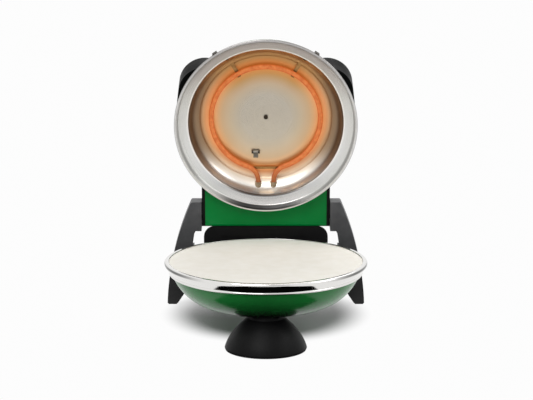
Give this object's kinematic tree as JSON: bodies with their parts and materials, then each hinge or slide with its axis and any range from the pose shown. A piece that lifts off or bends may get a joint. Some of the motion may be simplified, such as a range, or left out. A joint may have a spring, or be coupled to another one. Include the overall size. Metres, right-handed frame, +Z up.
{
  "type": "electric pizza maker",
  "caption": "Round countertop cooker with a stone-topped bowl on a bell foot and two rear legs, and a hinged domed lid with a ring heater.",
  "frame": {"origin": "on the table, in the middle of the bounding box", "axes": "+X to the right as seen from the front, +Y to the back, +Z up"},
  "size_m": [0.338, 0.403, 0.4754],
  "materials": {
    "green_paint": "deep green gloss enamel on pressed steel",
    "satin_steel": "polished stainless steel with fine turning lines",
    "polished_steel": "mirror-like aluminised steel",
    "bracket_steel": "heat-browned steel",
    "zinc_steel": "zinc-plated steel",
    "hot_heater": "sheathed heating element, glowing",
    "ceramic_white": "unglazed steatite",
    "wire_sleeve": "glass-fibre sleeve",
    "black_plastic": "black moulded plastic, fine grain",
    "knob_plastic": "black moulded plastic, satin",
    "black_rubber": "black rubber",
    "baking_clay": "pale fired clay, fine grained",
    "mineral_wool": "mineral-fibre pad",
    "dial_plate": "satin plate with plain numbers",
    "amber_lens": "clear amber plastic"
  },
  "bodies": {
    "base": {"bowl_shell": "green_paint", "base_ring": "satin_steel", "baking_stone": "baking_clay", "reflector_pan": "polished_steel", "pan_rivets": "zinc_steel", "lower_heater": "hot_heater", "lower_heater_clips": "zinc_steel", "lower_terminals": "ceramic_white", "terminal_block": "ceramic_white", "base_wiring": "wire_sleeve", "front_foot": "black_plastic", "foot_pad": "black_rubber", "foot_screws": "zinc_steel", "left_leg": "black_plastic", "right_leg": "black_plastic", "leg_pads": "black_rubber", "rear_bridge": "black_plastic", "leg_screws": "zinc_steel", "bridge_screws": "zinc_steel", "stop_bumpers": "black_rubber", "hinge_pins": "zinc_steel", "friction_washers": "black_rubber", "cord_gland": "black_rubber"},
    "lid": {"lid_shell": "green_paint", "lid_ring": "satin_steel", "ring_clips": "satin_steel", "lid_reflector": "polished_steel", "reflector_rivets": "bracket_steel", "lid_insulation": "mineral_wool", "upper_heater": "hot_heater", "heater_strap": "bracket_steel", "heater_brackets": "bracket_steel", "upper_terminals": "ceramic_white", "ceiling_screw": "bracket_steel", "thermostat_bulb": "bracket_steel", "bulb_bracket": "bracket_steel", "hinge_box": "green_paint", "left_end_cap": "black_plastic", "right_end_cap": "black_plastic", "end_cap_screws": "zinc_steel", "hinge_bushes": "ceramic_white", "lid_wiring": "wire_sleeve", "timer_housing": "black_plastic", "thermostat_housing": "black_plastic", "housing_screws": "zinc_steel", "handle_grip": "black_plastic", "grip_screws": "zinc_steel", "timer_body": "polished_steel", "thermostat_body": "ceramic_white", "timer_dial": "dial_plate", "thermostat_dial": "dial_plate", "indicator_lens": "amber_lens"},
    "timer_dial_knob": {"timer_shaft": "zinc_steel", "timer_knob": "knob_plastic"},
    "thermostat_dial_knob": {"thermostat_shaft": "zinc_steel", "thermostat_knob": "knob_plastic"}
  },
  "joints": [
    {"name": "lid_hinge", "type": "hinge", "parent": "base", "child": "lid", "pos_m": [0, 0.1435, 0.1535], "axis": [1, 0, 0], "range_deg": [0, 79.2]},
    {"name": "timer_turn", "type": "hinge", "parent": "lid", "child": "timer_dial_knob", "pos_m": [-0.101, 0.14629, 0.39022], "axis": [0, 0.9823, 0.1874], "range_deg": [-300, 0]},
    {"name": "thermostat_turn", "type": "hinge", "parent": "lid", "child": "thermostat_dial_knob", "pos_m": [0.101, 0.14629, 0.39022], "axis": [0, 0.9823, 0.1874], "range_deg": [-270, 0]}
  ]
}
